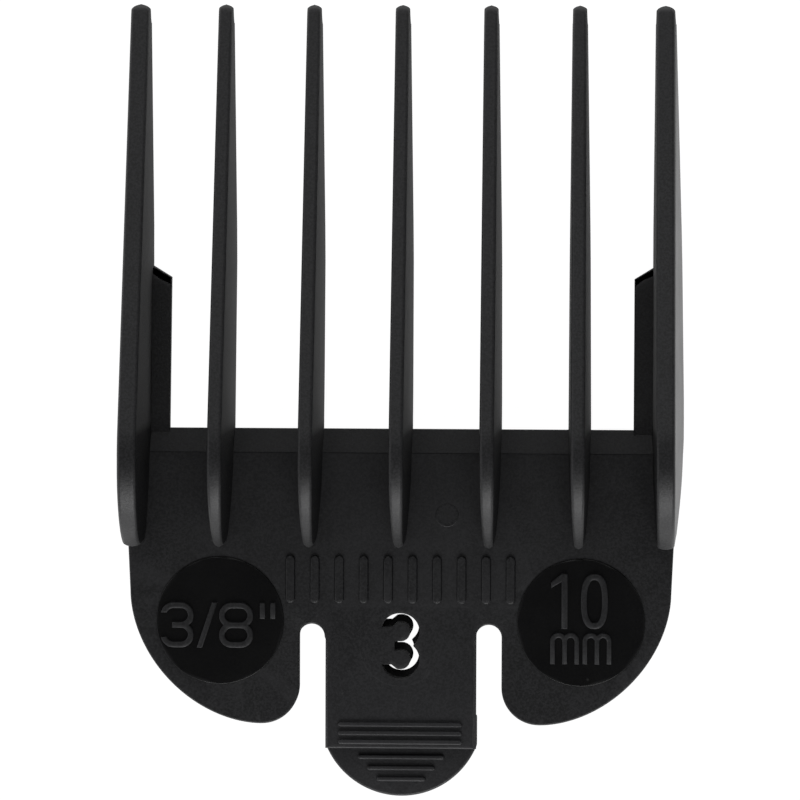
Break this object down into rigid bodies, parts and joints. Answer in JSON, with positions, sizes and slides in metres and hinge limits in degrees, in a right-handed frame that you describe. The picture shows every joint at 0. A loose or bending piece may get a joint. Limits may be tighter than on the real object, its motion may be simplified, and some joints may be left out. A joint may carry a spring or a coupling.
{
  "type": "clipper guard comb",
  "caption": "Clip-on guide comb that spaces a hair clipper's blade from the scalp, with wedge tines, blade rests and a flexing release tab with a catch.",
  "frame": {"origin": "middle of the flat seat under the plate that lies on the clipper blade, on the comb's centre line", "axes": "+X across the comb, +Y towards the tine tips, +Z out of the plate towards the scalp side"},
  "size_m": [0.0482, 0.068, 0.0153],
  "materials": {
    "comb_plastic": "fine moulded satin, black",
    "disc_plastic": "smoother and darker size discs, black"
  },
  "bodies": {
    "guard": {"base_plate": "comb_plastic", "hair_ramp": "comb_plastic", "tine_1": "comb_plastic", "tine_2": "comb_plastic", "tine_3": "comb_plastic", "tine_4": "comb_plastic", "tine_5": "comb_plastic", "tine_6": "comb_plastic", "tine_7": "comb_plastic", "blade_ledge_left": "comb_plastic", "blade_ledge_right": "comb_plastic", "size_disc_left": "disc_plastic", "size_disc_right": "disc_plastic", "size_mark_inch": "disc_plastic", "size_mark_mm": "disc_plastic", "rib_band": "comb_plastic"},
    "tab": {"release_tab": "comb_plastic", "catch_block": "comb_plastic", "thumb_lip": "comb_plastic", "tab_grip_ribs": "comb_plastic", "lip_grip_ribs": "comb_plastic"}
  },
  "joints": [
    {"name": "release_flex", "type": "hinge", "parent": "guard", "child": "tab", "pos_m": [0, -0.00995, 0.002], "axis": [-1, 0, 0], "range_deg": [0, 12], "stiffness_Nm_per_rad": 0.6}
  ]
}
